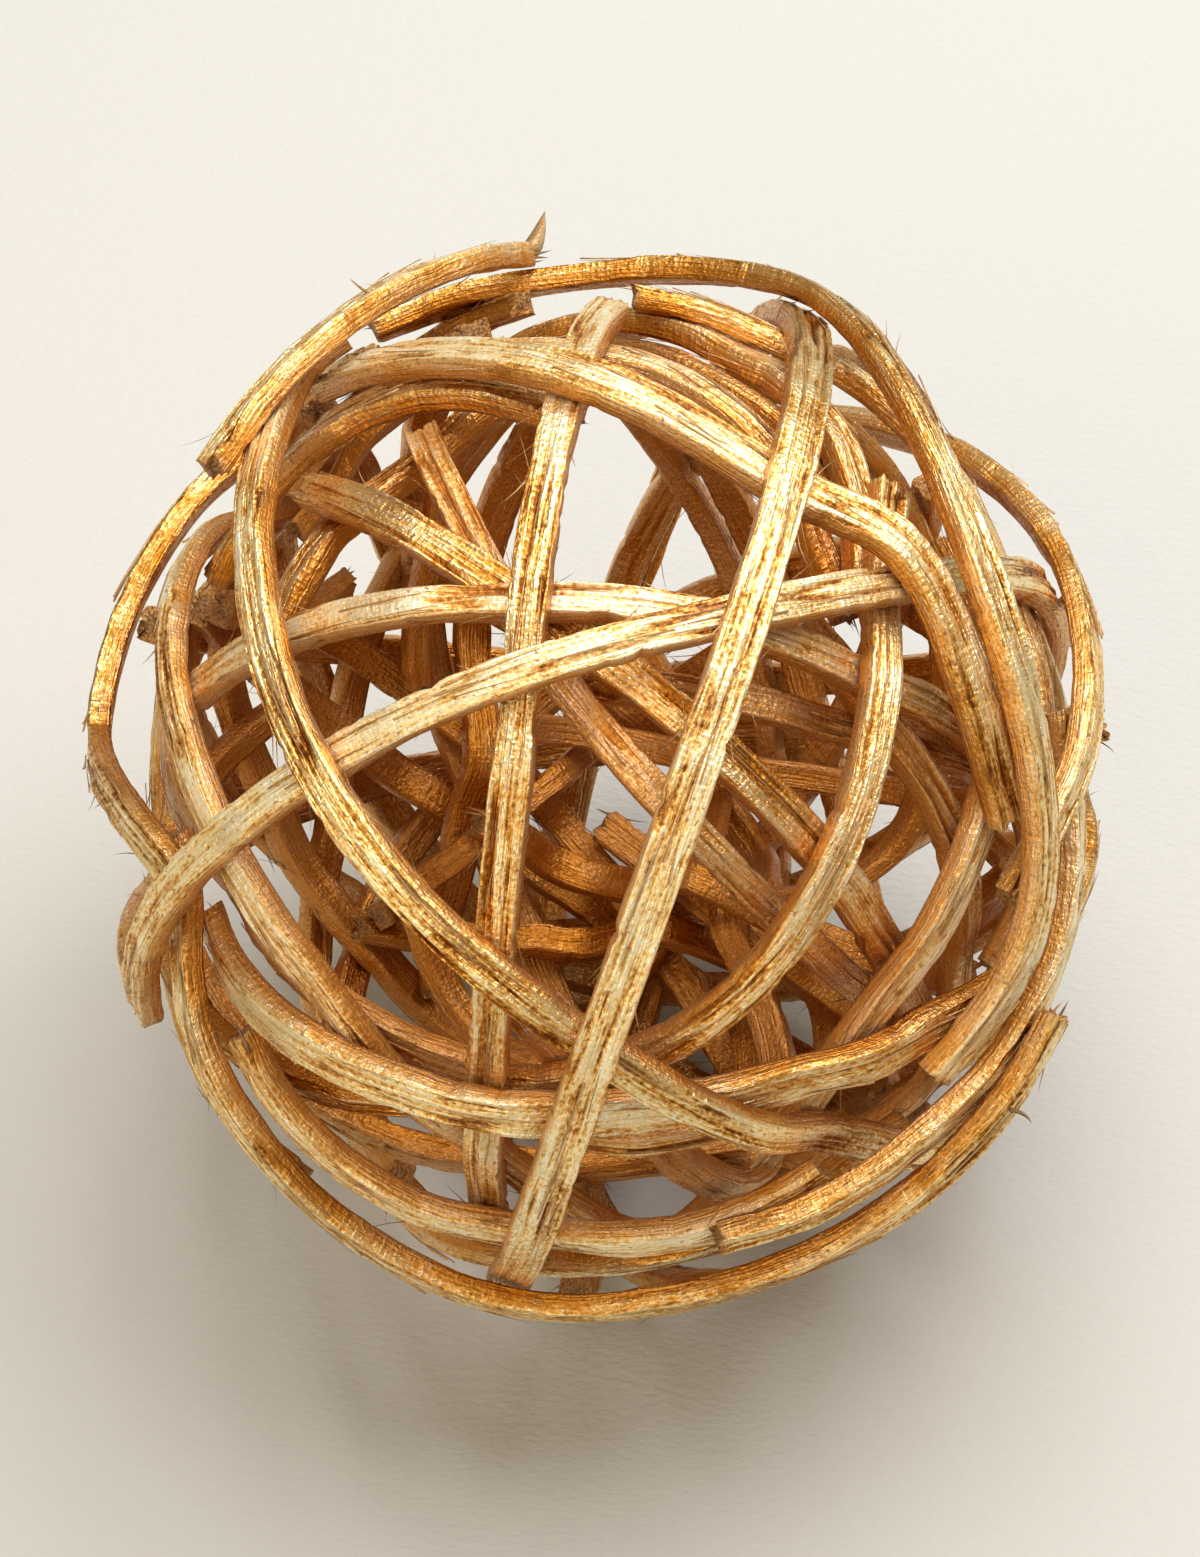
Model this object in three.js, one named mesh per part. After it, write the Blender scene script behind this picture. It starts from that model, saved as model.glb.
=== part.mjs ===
// A decorative ball wound from flat strips of split vine. The strips spring outwards against one
// another and nothing is glued: each end is cut blunt or tucked under a neighbour, and the ball is
// hollow. Millimetres and degrees; +Z is up, the origin is under the ball on the surface it rests on.
import * as THREE from "three";

// Strip and ball, in millimetres
const THICKNESS = 1.7; // of every strip
const LAYER_GAP = 0.22; // clear space between two strips where they cross
const SIDE_GAP = 0.35; // strips that pass closer than this, side by side, count as crossing
const BALL_RADIUS = 38; // distance from the centre at which crossings are measured
const FLOOR = 39.3; // distance from the centre to the surface that the ball stands on
const FLAT_DEPTH = 0.4; // the strips that reach it are worn flat by this much, so it doesn't roll

// Winding
const RING_STEP = 9.5; // degrees of a hoop between two cross-sections of its strip
const ROUNDS_TO_SETTLE = 480; // in which the strips push one another into place
const ROUNDS_TO_MOVE = 160; // after which it is worked out again what crosses where
const STRAIGHTEN = 0.3; // how strongly a strip evens out its own bends in one round
const SPRING_BACK = 0.02; // how strongly it returns to its free radius in one round
const INNER_SHARE = 0.7; // share of each push that the inner strip of a crossing takes
const MOST_TRIM = 3.5; // cross-sections that may be cut off a strip so that it ends under another

const GOLD = { color: 0xd9b26a, roughness: 0.5, metalness: 0.55 };

// The winding. Each strip follows a hoop round the ball's centre.
//   axle    where the hoop's axle points: degrees round from +X, then degrees above level
//   lean    how far the hoop stands off the ball's widest circle, towards the axle
//   sway    [amount, phase] of its slow wander, with two waves in a full turn
//   wobble  [amount, phase] of a quicker one, with three
//   run     where on the hoop the strip starts and ends; 0 is level, a quarter turn on from the axle
//   radius  from the ball's centre to the middle of the strip, where nothing holds it, or
//           [at the start, at the end]
//   width   of the strip, and tip, its share of that width at the start
//   layer   where two strips cross, the higher layer passes outside
//   lift    [from, to, layer]: a stretch of the run that lies on another layer than the rest
//   loose   [start, end]: true for an end that is cut off in the open and isn't tucked under others
const WINDING = {
  // strips that lie outermost on the upper front
  front_diagonal_strand: {
    axle: [171, 15], lean: -4, sway: [2, 323], run: [-32, 240], radius: 39.5, width: 3.7, layer: 90,
    loose: [true, false],
  },
  upper_front_strand: {
    axle: [-150, -46], lean: -43, sway: [31.4, 206], wobble: [12.3, 97], run: [-2, 158],
    radius: [37.6, 38.8], width: 4, layer: 70, loose: [true, false],
  },
  left_front_strand: {
    axle: [6, 52], lean: 11, sway: [2, 163], wobble: [2, 98], run: [46, 300], radius: 39.3, width: 3.3,
    layer: 80, loose: [true, false],
  },
  rising_front_strand: {
    axle: [112, 19], lean: -4, sway: [1, 112], wobble: [2, 30], run: [-8, 290],
    radius: 38.6, width: 3.2, layer: 60, lift: [-8, 35, 97], loose: [true, false],
  },
  front_upright_strand: {
    axle: [-14, 5], lean: 0, sway: [3, 188], run: [55, 310], radius: 37.8, width: 3.2, layer: 50,
    loose: [true, false],
  },
  level_front_strand: {
    axle: [86, 14], lean: -5, sway: [1, 76], run: [26, 312], radius: 37.2, width: 2.9, layer: 40,
  },
  falling_front_strand: {
    axle: [48, 22], lean: 2, sway: [2, 123], run: [56, 292], radius: 37, width: 3.4, layer: 35,
    loose: [true, false],
  },
  lower_front_strand: { axle: [73, 79], lean: 0, run: [35, 255], radius: 38.3, width: 3.6, layer: 55 },
  right_front_strand: {
    axle: [-171, 71], lean: 25, sway: [10, 67], run: [-25, 101], radius: 37.5, width: 3.2, layer: 45,
  },
  top_front_strand: {
    axle: [-172, 72], lean: 37, sway: [3, 180], run: [72, 222], radius: 38.4, width: 3.1, layer: 42,
  },

  // strips round the outline
  top_rim_strand: {
    axle: [-143, 40], lean: 4, sway: [11, 220], wobble: [12.5, 105], run: [2, 153],
    radius: [40.2, 40.6], width: 3.3, layer: 95, lift: [2, 20, 60], loose: [false, true],
  },
  upper_left_rim_strand: {
    axle: [-42, 34], lean: -11, sway: [3, 126], run: [58, 110], radius: [42.4, 40.2], width: 3.3,
    tip: 0.3, layer: 96, loose: [true, true],
  },
  left_rim_strand: {
    axle: [3, 32], lean: -35.5, sway: [12, 292], wobble: [10.4, 290], run: [34, 124],
    radius: [40.4, 38], width: 3.1, layer: 79,
  },
  lower_rim_strand: {
    axle: [-91, 46], lean: 32, sway: [1, 179], run: [-152, -32], radius: 39.8, width: 3.3, layer: 85,
  },
  base_rim_strand: {
    axle: [-102, 60], lean: 16, sway: [10.9, 333], wobble: [4.7, 124], run: [-172, -19],
    radius: 40.4, width: 3.2, layer: 92, lift: [-172, -150, 50], loose: [false, true],
  },
  base_inner_strand: {
    axle: [169, 68], lean: -32, sway: [4, 277], run: [-60, 75], radius: 38.7, width: 2.6, layer: 58,
  },
  left_side_strand: {
    axle: [4, 42], lean: -17, sway: [1, 216], run: [15, 300], radius: 38, width: 2.9, layer: 46,
  },
  left_tucked_strand: {
    axle: [32, 80], lean: 0, sway: [4, 88], run: [5, 135], radius: 37.3, width: 2.9, layer: 39,
  },
  upper_right_rim_strand: {
    axle: [-107, 48], lean: 9, sway: [3, 216], run: [-10, 98], radius: 39.4, width: 2.9, layer: 52,
  },
  right_rim_strand: {
    axle: [-171, 56], lean: -11, sway: [2, 345], run: [25, 158], radius: 39.8, width: 2.9, layer: 87,
  },
  lower_right_rim_strand: {
    axle: [-121, 59], lean: 13, sway: [9, 101], run: [-45, 52], radius: 39.8, width: 2.8, layer: 86,
  },

  // shorter stretches seen under them
  second_top_strand: {
    axle: [-121, 37], lean: 19, sway: [5, 285], run: [45, 160], radius: 37.6, width: 2.8, layer: 38,
  },
  third_top_strand: {
    axle: [-141, 23], lean: -10, sway: [3, 167], run: [70, 205], radius: 37, width: 2.3, layer: 30,
  },
  upper_left_strand: {
    axle: [-128, 42], lean: 36, sway: [2, 348], run: [88, 190], radius: 37.2, width: 2.8, layer: 41,
  },
  left_rising_strand: {
    axle: [-46, 33], lean: 6, sway: [3, 322], run: [-60, 140], radius: 36.8, width: 2.9, layer: 25,
  },
  inner_slanting_strand: {
    axle: [32, 22], lean: 8, sway: [5, 321], run: [64, 300], radius: 36.5, width: 2.9, layer: 32,
    loose: [true, false],
  },
  right_level_strand: {
    axle: [80, 37], lean: 9, sway: [3, 134], run: [90, 296], radius: 36.4, width: 2.7, layer: 28,
  },
  right_inner_strand: {
    axle: [-126, 11], lean: 4, sway: [4, 111], run: [-135, 62], radius: 36.8, width: 2.9, layer: 36,
  },
  lower_right_strand: {
    axle: [-152, 50], lean: -1, sway: [3, 318], run: [-15, 80], radius: 37, width: 2.9, layer: 43,
  },
  low_left_strand: {
    axle: [87, 82], lean: -10, sway: [3, 104], run: [-30, 115], radius: 37, width: 2.6, layer: 33,
  },
  low_left_second_strand: {
    axle: [7, 84], lean: -16, sway: [1, 204], run: [105, 205], radius: 36.6, width: 2.7, layer: 29,
  },
  low_slanting_strand: {
    axle: [8, 35], lean: -4, sway: [1, 250], run: [150, 330], radius: 36.4, width: 3.2, layer: 31,
  },

  // strips of the far side, seen through the ball
  far_long_strand: {
    axle: [67, 29], lean: -8, sway: [1, 271], run: [195, 310], radius: 37.5, width: 3.2, layer: 27,
  },
  far_falling_strand: {
    axle: [15, 50], lean: -14, sway: [2, 5], run: [240, 370], radius: 37.5, width: 3.1, layer: 34,
  },
  far_rising_strand: { axle: [137, 38], lean: -1, run: [190, 315], radius: 37.8, width: 2.5, layer: 37 },
  far_right_strand: {
    axle: [140, 6], lean: -7, sway: [1, 321], run: [160, 300], radius: 38, width: 2.8, layer: 44,
  },
  far_left_strand: { axle: [-170, 22], lean: 2, run: [140, 290], radius: 38.3, width: 3.5, layer: 47 },
  far_low_left_strand: { axle: [-153, 6], lean: -1, run: [140, 300], radius: 38, width: 3.5, layer: 49 },
  far_upright_strand: { axle: [6, 20], lean: 21, run: [235, 370], radius: 38.4, width: 3, layer: 51 },
  far_second_upright_strand: {
    axle: [-18, 26], lean: -7, sway: [1, 168], run: [255, 395], radius: 38.2, width: 2.2, layer: 53,
  },

  // strips of the back and the underside
  back_level_strand: {
    axle: [-110, 15], lean: -10, sway: [2, 40], run: [140, 358], radius: 38, width: 3.3, layer: 56,
  },
  back_leaning_strand: {
    axle: [30, 35], lean: -20, sway: [1, 200], run: [-155, 40], radius: 38.2, width: 3, layer: 48,
  },
  back_steep_strand: {
    axle: [80, 5], lean: 10, sway: [2, 300], run: [-185, 22], radius: 38.4, width: 3.1, layer: 62,
  },
  back_crossing_strand: {
    axle: [50, 25], lean: -10, sway: [1, 90], run: [-160, 28], radius: 37.8, width: 3.4, layer: 54,
  },
  under_left_strand: {
    axle: [-160, 35], lean: 0, sway: [2, 10], run: [122, 316], radius: 37.8, width: 3, layer: 59,
  },
  under_left_second_strand: {
    axle: [-160, 45], lean: 20, run: [128, 300], radius: 38.6, width: 2.7, layer: 64,
  },
  under_long_strand: {
    axle: [-170, 25], lean: -20, sway: [1, 150], run: [122, 328], radius: 39.8, width: 3.3, layer: 66,
  },
  back_high_strand: {
    axle: [170, 55], lean: -20, sway: [2, 60], run: [110, 328], radius: 38.4, width: 3, layer: 57,
  },
  back_wide_strand: {
    axle: [-130, 5], lean: -10, sway: [2, 250], run: [140, 340], radius: 39.4, width: 3.5, layer: 68,
  },
  right_side_strand: {
    axle: [102, 44], lean: 0, sway: [2, 120], run: [160, 335], radius: 38, width: 3.1, layer: 60.5,
  },
  right_side_second_strand: {
    axle: [-100, 39], lean: 0, sway: [2, 20], run: [-80, 32], radius: 38, width: 2.9, layer: 50.5,
  },
  under_right_strand: {
    axle: [10, 15], lean: -20, sway: [1, 30], run: [-148, 46], radius: 38, width: 2.9, layer: 61,
  },
  under_front_strand: {
    axle: [90, 35], lean: 20, sway: [2, 180], run: [-184, 4], radius: 38.4, width: 3.1, layer: 63,
  },
  under_round_strand: {
    axle: [90, 65], lean: -20, sway: [1, 0], run: [-190, 14], radius: 38.6, width: 3.2, layer: 65,
  },
};

const radians = THREE.MathUtils.degToRad;

/** Direction from the ball's centre to the strip's middle line, at an angle round its hoop. */
function hoopDirection({ axle, lean, sway = [0, 0], wobble = [0, 0] }, angle) {
  const [azimuth, height] = axle.map(radians);
  const axis = new THREE.Vector3(
    Math.cos(height) * Math.cos(azimuth), Math.cos(height) * Math.sin(azimuth), Math.sin(height));
  const level = new THREE.Vector3(-Math.sin(azimuth), Math.cos(azimuth), 0);
  const steep = new THREE.Vector3().crossVectors(axis, level);
  const off = radians(lean + sway[0] * Math.sin(radians(2 * angle - sway[1]))
    + wobble[0] * Math.sin(radians(3 * angle - wobble[1])));
  const around = level.multiplyScalar(Math.cos(radians(angle)));
  around.addScaledVector(steep, Math.sin(radians(angle)));
  return around.multiplyScalar(Math.cos(off)).addScaledVector(axis, Math.sin(off));
}

/** One strip before it has settled: its cross-sections' directions, and its free radius at each. */
function layOut(name, run = WINDING[name].run) {
  const hoop = { ...WINDING[name], run };
  const [start, end] = run;
  const steps = Math.ceil((end - start) / RING_STEP);
  const outward = Array.from({ length: steps + 1 },
    (_, k) => hoopDirection(hoop, start + (end - start) * k / steps));
  const sideways = outward.map((direction, k) => new THREE.Vector3()
    .subVectors(outward[Math.min(k + 1, steps)], outward[Math.max(k - 1, 0)])
    .cross(direction).normalize());
  const [first, last] = typeof hoop.radius === "number" ? [hoop.radius, hoop.radius] : hoop.radius;
  const free = outward.map((_, k) => first + (last - first) * k / steps);
  return { name, ...hoop, steps, outward, sideways, free, radii: [...free] };
}

/** Points all over a strip's face, as seen from the ball's centre on a ball of BALL_RADIUS. */
function facePoints(strip) {
  const points = [];
  for (let k = 0; k < strip.steps; k++)
    for (const share of [0, 0.25, 0.5, 0.75, 0.999])
      for (const side of [-0.5, -0.25, 0, 0.25, 0.5]) {
        const radius = strip.radii[k] * (1 - share) + strip.radii[k + 1] * share;
        const point = strip.outward[k].clone().lerp(strip.outward[k + 1], share).setLength(radius);
        const across = strip.sideways[k].clone().lerp(strip.sideways[k + 1], share);
        point.addScaledVector(across, side * strip.width).setLength(BALL_RADIUS);
        points.push({ at: k + share, point });
      }
  return points;
}

/** Where the strip's middle line runs under or over a point, or nothing if it passes too far away. */
function placesBeside(strip, point) {
  const places = [];
  const segment = new THREE.Line3();
  const nearest = new THREE.Vector3();
  for (let k = 0; k < strip.steps; k++) {
    const reach = strip.width / 2 * BALL_RADIUS / strip.radii[k] + SIDE_GAP;
    segment.start.copy(strip.outward[k]).setLength(BALL_RADIUS);
    if (segment.start.distanceTo(point) > 10 + reach) continue;
    segment.end.copy(strip.outward[k + 1]).setLength(BALL_RADIUS);
    const share = Math.min(segment.closestPointToPointParameter(point, true), 0.999);
    segment.at(share, nearest);
    if (nearest.setLength(BALL_RADIUS).distanceTo(point) < reach) places.push(k + share);
  }
  return places;
}

/** Every pair of places where one strip lies over the other, in one patch for each crossing. */
function findPatches(a, b) {
  const pairs = facePoints(a).flatMap(({ at, point }) => placesBeside(b, point).map((place) => [at, place]));
  pairs.sort(([here], [there]) => here - there);
  const patches = [];
  let previous = -Infinity;
  for (const pair of pairs) {
    if (pair[0] - previous > 1) patches.push([]);
    patches.at(-1).push(pair);
    previous = pair[0];
  }
  return patches;
}

/** The layer that a strip lies on at one place of its run, counted in cross-sections. */
function layerAt(strip, at) {
  const angle = strip.run[0] + (strip.run[1] - strip.run[0]) * at / strip.steps;
  const [from, to, layer] = strip.lift ?? [];
  return angle >= from && angle <= to ? layer : strip.layer;
}

/** Every crossing in the winding: strips a and b, the pairs of places, and the middle of each. */
function findCrossings(strips) {
  const mean = (pairs, side) => pairs.reduce((sum, pair) => sum + pair[side], 0) / pairs.length;
  return strips.flatMap((a) => strips.filter((b) => b !== a).flatMap((b) => findPatches(a, b).map((pairs) => {
    const [onA, onB] = [mean(pairs, 0), mean(pairs, 1)];
    return { a, b, pairs, onA, onB, aOutside: layerAt(a, onA) > layerAt(b, onB) };
  })));
}

/** A hoop whose ends, unless they are loose, are cut back to where they lie under another strip. */
function tuckEnds(strip, crossings) {
  const under = crossings.filter(({ a, aOutside }) => a === strip && !aOutside).map(({ onA }) => onA);
  const [start, end] = strip.run;
  const first = Math.min(...under);
  const last = Math.max(...under);
  const [startLoose, endLoose] = strip.loose ?? [false, false];
  const angle = (at) => start + (end - start) * at / strip.steps;
  return [
    startLoose || first > MOST_TRIM ? start : angle(first),
    endLoose || last < strip.steps - MOST_TRIM ? end : angle(last),
  ];
}

/** Radius of a strip's middle between two cross-sections, where its chord dips below the arc. */
function radiusAt(strip, at) {
  const ring = Math.floor(at);
  const share = at - ring;
  const dip = BALL_RADIUS * (1 - Math.cos(radians(RING_STEP / 2))) * 4 * share * (1 - share);
  return strip.radii[ring] * (1 - share) + strip.radii[ring + 1] * share - dip;
}

/** Moves a strip in or out at one place by moving the two cross-sections beside it. */
function push(strip, at, distance) {
  const ring = Math.floor(at);
  const share = at - ring;
  const grip = (1 - share) ** 2 + share ** 2;
  strip.radii[ring] += distance * (1 - share) / grip;
  strip.radii[ring + 1] += distance * share / grip;
}

/** What presses on what: pairs of places, the outer one first. */
function findPushes(strips) {
  return findCrossings(strips).flatMap(({ a, b, pairs, aOutside }) => pairs
    .map(([onA, onB]) => (aOutside ? [a, onA, b, onB] : [b, onB, a, onA])));
}

/** Evens out a strip's bends and lets it spring back towards its free radius. */
function relax(strip, supple) {
  const before = [...strip.radii];
  for (let k = 0; k <= strip.steps; k++) {
    const beside = (before[Math.max(k - 1, 0)] + before[Math.min(k + 1, strip.steps)]) / 2;
    const spring = STRAIGHTEN * (beside - before[k]) + SPRING_BACK * (strip.free[k] - before[k]);
    strip.radii[k] += supple * spring;
  }
}

/** Presses in what hangs lower than the surface that the ball stands on. */
function pressOnFloor(strip) {
  strip.outward.forEach((direction, k) => {
    const below = -direction.z * (strip.radii[k] + THICKNESS / 2) - FLOOR - FLAT_DEPTH;
    if (below > 0) strip.radii[k] += below / direction.z;
  });
}

/** Presses crossing strips apart until none cuts another. */
function settle(strips) {
  const clearance = THICKNESS + LAYER_GAP;
  let pushes = [];
  for (let round = 0; round < ROUNDS_TO_SETTLE; round++) {
    if (round % ROUNDS_TO_MOVE === 0) pushes = findPushes(strips);
    const supple = Math.max(0, 1 - 1.5 * round / ROUNDS_TO_SETTLE); // they stiffen as they settle
    for (const strip of strips) relax(strip, supple);
    for (const [outer, there, inner, here] of pushes) {
      const short = clearance - (radiusAt(outer, there) - radiusAt(inner, here));
      if (short <= 0) continue;
      push(outer, there, short * (1 - INNER_SHARE));
      push(inner, here, -short * INNER_SHARE);
    }
    strips.forEach(pressOnFloor);
  }
}

/** The strip's closed mesh: a rectangular section at each ring, joined by quads, and two cut ends. */
function stripGeometry(strip) {
  const corners = [[-1, -1], [1, -1], [1, 1], [-1, 1]]; // [sideways, outwards]
  const positions = [];
  for (let k = 0; k <= strip.steps; k++) {
    const share = k === 0 && strip.tip ? strip.tip : 1;
    for (const [side, out] of corners) {
      const vertex = strip.outward[k].clone().multiplyScalar(strip.radii[k] + out * THICKNESS / 2);
      vertex.addScaledVector(strip.sideways[k], side * share * strip.width / 2);
      positions.push(...vertex.toArray());
    }
  }
  const faces = [0, 1, 2, 0, 2, 3];
  for (let k = 0; k < strip.steps; k++)
    for (let c = 0; c < 4; c++) {
      const [a, b] = [4 * k + c, 4 * k + (c + 1) % 4];
      faces.push(a, a + 4, b, b, a + 4, b + 4);
    }
  const last = 4 * strip.steps;
  faces.push(last, last + 2, last + 1, last, last + 3, last + 2);
  const geometry = new THREE.BufferGeometry();
  geometry.setAttribute("position", new THREE.Float32BufferAttribute(positions, 3));
  geometry.setIndex(faces);
  return geometry;
}

/** Wears the underside flat where it stands, and puts that at z = 0 under the middle of the ball. */
function seat(geometries) {
  const box = new THREE.Box3();
  for (const geometry of geometries) {
    const place = geometry.attributes.position;
    for (let v = 0; v < place.count; v++) place.setZ(v, Math.max(place.getZ(v), -FLOOR));
    box.union(new THREE.Box3().setFromBufferAttribute(place));
  }
  const centre = box.getCenter(new THREE.Vector3());
  for (const geometry of geometries) geometry.translate(-centre.x, -centre.y, FLOOR);
}

const uncut = Object.keys(WINDING).map((name) => layOut(name));
const crossings = findCrossings(uncut);
const strips = uncut.map((strip) => layOut(strip.name, tuckEnds(strip, crossings)));
settle(strips);
const geometries = strips.map(stripGeometry);
seat(geometries);

const ball = new THREE.Group();
geometries.forEach((geometry, i) => {
  geometry.computeVertexNormals();
  const mesh = new THREE.Mesh(geometry, new THREE.MeshStandardMaterial(GOLD));
  mesh.name = strips[i].name;
  ball.add(mesh);
});

export default ball;
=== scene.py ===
# %% The frame
import math
import random

import bmesh
import bpy
import numpy as np
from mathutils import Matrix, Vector, noise


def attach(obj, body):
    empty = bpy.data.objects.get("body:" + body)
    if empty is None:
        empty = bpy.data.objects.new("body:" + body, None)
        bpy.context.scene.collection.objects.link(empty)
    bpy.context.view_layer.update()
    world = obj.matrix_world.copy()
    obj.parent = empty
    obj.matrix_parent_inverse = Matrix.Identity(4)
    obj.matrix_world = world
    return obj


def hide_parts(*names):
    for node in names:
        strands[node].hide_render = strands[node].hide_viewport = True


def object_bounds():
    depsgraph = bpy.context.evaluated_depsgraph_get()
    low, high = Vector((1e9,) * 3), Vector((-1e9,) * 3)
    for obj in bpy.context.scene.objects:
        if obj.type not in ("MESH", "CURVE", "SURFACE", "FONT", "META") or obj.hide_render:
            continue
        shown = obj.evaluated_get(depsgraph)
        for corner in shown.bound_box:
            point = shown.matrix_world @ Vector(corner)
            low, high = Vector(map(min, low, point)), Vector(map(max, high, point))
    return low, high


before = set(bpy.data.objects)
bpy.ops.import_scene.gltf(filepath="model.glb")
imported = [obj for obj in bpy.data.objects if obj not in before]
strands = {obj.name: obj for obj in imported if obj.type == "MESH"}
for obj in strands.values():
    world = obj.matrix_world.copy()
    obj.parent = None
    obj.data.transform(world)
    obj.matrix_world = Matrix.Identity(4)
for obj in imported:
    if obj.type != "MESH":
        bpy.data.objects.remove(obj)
cad_box = [list(corner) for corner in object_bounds()]
print(f"{len(strands)} strands in a box of", [round(hi - lo, 4) for lo, hi in zip(*cad_box)])

# %% [markdown]
# The object is a ball about as wide as a fist, wound from flat strips of split vine. It has no
# core: the strips press outwards against one another, and that alone holds the ball together.
# Each strip in the frame is a plain four-cornered band. It says where the strip runs, how wide it
# is and which of two crossing strips lies outside. We could shade those bands as they are, but
# vine is never that even. So this lesson turns each band into a strip of real vine, with
# lengthwise fibres, cracks, nicks, torn ends and old gold paint.

# %% Sizes of the strips, in metres
MM = 0.001
RING_SPACING = 0.66 * MM  # between two cross-sections of a finished strip
OUTER_POINTS = 17  # across the face that looks out of the ball
INNER_POINTS = 7  # across the face that looks into it
SLIMMER = 0.89  # share of its band's width that a strip keeps: its edges have dried and worn
PLUMP = 0.08 * MM  # how far each face stands outside its band, so that crossing strips touch
SEED_STEP = 1.7  # sets the strips apart in the noise, so that no two of them are alike
random.seed(8)
print("a ring every", RING_SPACING / MM, "mm")

# %% [markdown]
# To bend a strip along its band, we need the band's own cross-sections, in order from one end to
# the other. We could type them in, but then the strips would no longer follow the frame. A band
# is a tube of quads, cut into triangles, with a cap at each end. Every corner has six neighbours,
# except those of the caps, which have fewer. We start at one cap and step from ring to ring: the
# next ring is whatever touches this one and hasn't been seen yet.

# %% Reading a band's cross-sections
SAME_POINT = 0.002 * MM  # corners closer than this are one corner
NEIGHBOURS = 6  # of a corner that isn't on a cap


def rings_of(node):
    """The band's rings, each an array of its four corners, from one cut end to the other."""
    band = bmesh.new()
    band.from_mesh(node.data)
    bmesh.ops.remove_doubles(band, verts=band.verts, dist=SAME_POINT)
    band.verts.index_update()
    beside = {v: {e.other_vert(v) for e in v.link_edges} for v in band.verts}
    at_caps = {v for v in band.verts if len(beside[v]) < NEIGHBOURS}
    ring = grown = {min(at_caps, key=lambda v: v.index)}
    while grown:
        grown = {w for v in ring for w in beside[v]} & at_caps - ring
        ring = ring | grown
    seen, rings = set(), []
    while ring:
        rings.append(np.array([v.co for v in sorted(ring, key=lambda v: v.index)]))
        seen |= ring
        ring = {w for v in ring for w in beside[v]} - seen
    band.free()
    return rings


bands = {name: rings_of(node) for name, node in strands.items()}
print("the bands have", sum(len(rings) for rings in bands.values()), "rings in all")

# %% [markdown]
# Every ring stands square to the ball's surface, so a line through its thickness points at the
# middle of the ball. We could take the middle of the box that holds the ball, but the ball is a
# little lopsided. The point nearest to all of those lines is better, and it is a small
# least-squares problem.


# %% The middle of the ball
def spine_of(rings, middle):
    """Each ring's centre, and half its thickness and half its width as vectors."""
    centres, outs, sides = [], [], []
    for k, ring in enumerate(rings):
        order = np.argsort(np.linalg.norm(ring - middle, axis=1))
        inner, outer = ring[order[:2]], ring[order[2:]]
        out = (outer.mean(0) - inner.mean(0)) / 2
        ahead = rings[min(k + 1, len(rings) - 1)].mean(0) - rings[max(k - 1, 0)].mean(0)
        across = np.cross(ahead, out)
        across /= np.linalg.norm(across)
        width = sum(abs((pair[1] - pair[0]) @ across) for pair in (inner, outer)) / 4
        centres.append(ring.mean(0))
        outs.append(out)
        sides.append(across * width)
    return np.array(centres), np.array(outs), np.array(sides)


def middle_of_ball(all_rings):
    """The point nearest to every line through a ring's thickness."""
    guess = np.array([0.0, 0.0, sum(corner[2] for corner in cad_box) / 2])
    pull, aim = np.zeros((3, 3)), np.zeros(3)
    for rings in all_rings:
        centres, outs, _ = spine_of(rings, guess)
        for centre, out in zip(centres[1:-1], outs[1:-1]):
            along = out / np.linalg.norm(out)
            square = np.eye(3) - np.outer(along, along)
            pull += square
            aim += square @ centre
    return np.linalg.solve(pull, aim)


MIDDLE = middle_of_ball(bands.values())
print("middle of the ball, in mm:", [round(c / MM, 2) for c in MIDDLE])

# %% [markdown]
# The bands have a ring every few millimetres. A strip of vine bends smoothly, so we put a curve
# through the rings and read off new ones, much closer together. A Catmull-Rom curve passes
# through each of its points, so the strip keeps to the band, which a Bezier or a subdivided cage
# would cut short. Vine never bends quite evenly, though, so the strip also rolls a few degrees to
# and fro on its way, and gets a little wider and narrower.

# %% A smooth path along a band
ROLL = math.radians(9)  # noise keeps the real roll to about half of this
ROLLS_PER_MM = 0.09
SWELL = 0.09  # share by which the width comes and goes
SWELLS_PER_MM = 0.12


def smooth(points, places):
    """A Catmull-Rom curve through the points, read at fractional places."""
    padded = np.vstack([2 * points[0] - points[1], points, 2 * points[-1] - points[-2]])
    k = np.clip(places.astype(int), 0, len(points) - 2)
    t = (places - k)[:, None]
    a, b, c, d = (padded[k + i] for i in range(4))
    return 0.5 * (
        2 * b
        + (c - a) * t
        + (2 * a - 5 * b + 4 * c - d) * t**2
        + (3 * b - a - 3 * c + d) * t**3
    )


def unit(vectors):
    return vectors / np.linalg.norm(vectors, axis=1, keepdims=True)


def slow_noise(along, per_mm, seed, row):
    """Noise that changes slowly along a strip; another row gives another one."""
    return noise.noise(Vector((along / MM * per_mm, seed, row)))


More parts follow.
